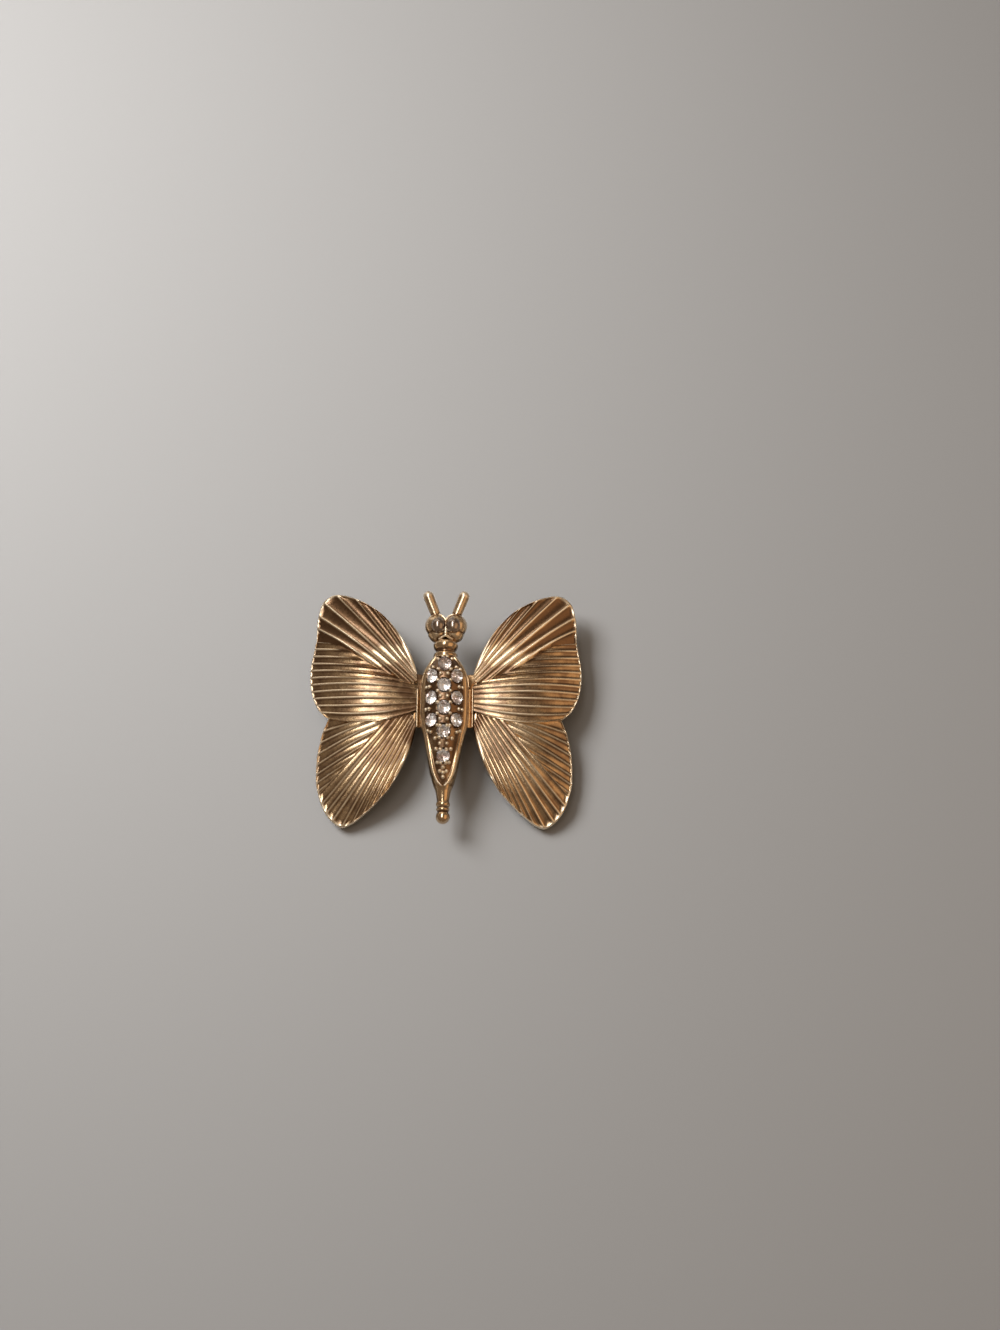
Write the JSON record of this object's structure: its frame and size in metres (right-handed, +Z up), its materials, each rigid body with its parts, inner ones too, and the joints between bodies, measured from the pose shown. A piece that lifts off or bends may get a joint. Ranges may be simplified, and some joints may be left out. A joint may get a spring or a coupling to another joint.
{
  "type": "butterfly brooch",
  "caption": "Gold-tone butterfly brooch with fluted arched wings, a stone-set spindle body, antennae and a horizontal pin on the back.",
  "frame": {"origin": "on the table that the brooch lies on, under the middle of its outline", "axes": "+X across the wings to the side of stones 6 to 8, +Y towards the head, +Z up from the table, out of the brooch's face"},
  "size_m": [0.0406, 0.0352, 0.0091],
  "materials": {
    "wing_gold": "antiqued gold plate, dark in the flutes and worn pale on the ribs",
    "body_gold": "antiqued gold plate, polished on the eyes, rims and beads",
    "pin_metal": "plain satin gold plate",
    "stone": "clear cut glass, foiled behind"
  },
  "bodies": {
    "root": {"wings": "wing_gold", "body": "body_gold", "pin_back": "pin_metal", "stone_1": "stone", "stone_2": "stone", "stone_3": "stone", "stone_4": "stone", "stone_5": "stone", "stone_6": "stone", "stone_7": "stone", "stone_8": "stone", "stone_9": "stone", "stone_10": "stone", "stone_11": "stone"}
  },
  "joints": []
}
